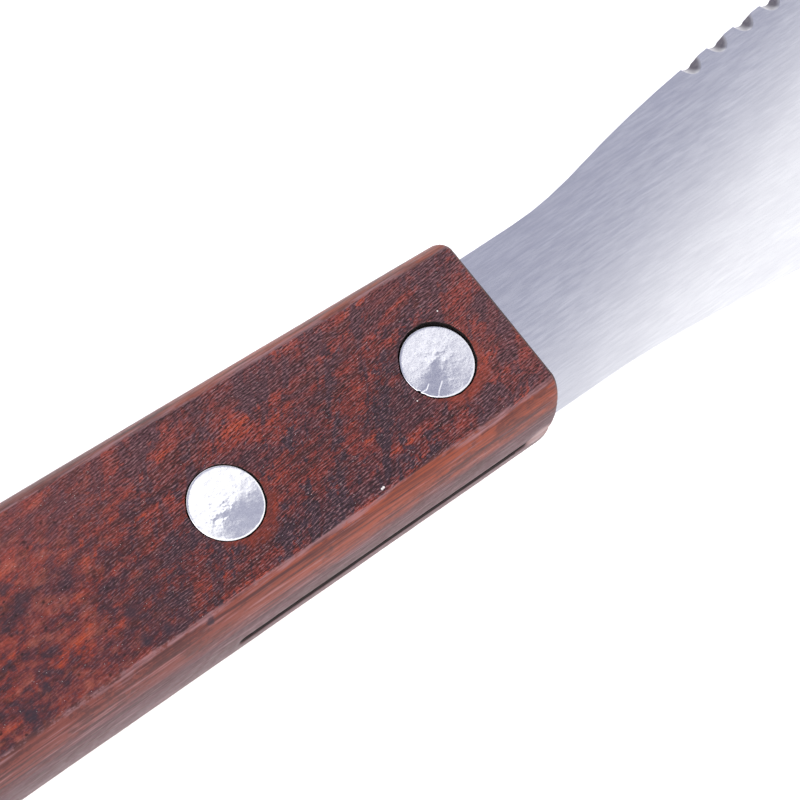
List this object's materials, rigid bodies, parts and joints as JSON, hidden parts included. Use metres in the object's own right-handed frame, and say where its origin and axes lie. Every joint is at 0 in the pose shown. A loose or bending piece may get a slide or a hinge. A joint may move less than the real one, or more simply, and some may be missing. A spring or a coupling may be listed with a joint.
{
  "type": "uncapping knife",
  "caption": "Long flat stainless blade with one serrated edge and a rounded tip, riveted into a sawn, tapered wooden handle.",
  "frame": {"origin": "on the handle's back face, on which the knife rests, on the line through the two rivets and at the middle of the handle's length", "axes": "+X from the handle to the blade's tip, +Y towards the serrated edge, +Z out of the upper broad face, so the knife lies flat"},
  "size_m": [0.395, 0.041, 0.0202],
  "materials": {
    "blade": "lengthwise brushed",
    "handle": "stained red-brown and lacquered, satin",
    "rivets": "hammered"
  },
  "bodies": {
    "root": {"blade": "blade", "handle": "handle", "rivet_front": "rivets", "rivet_rear": "rivets"}
  },
  "joints": []
}
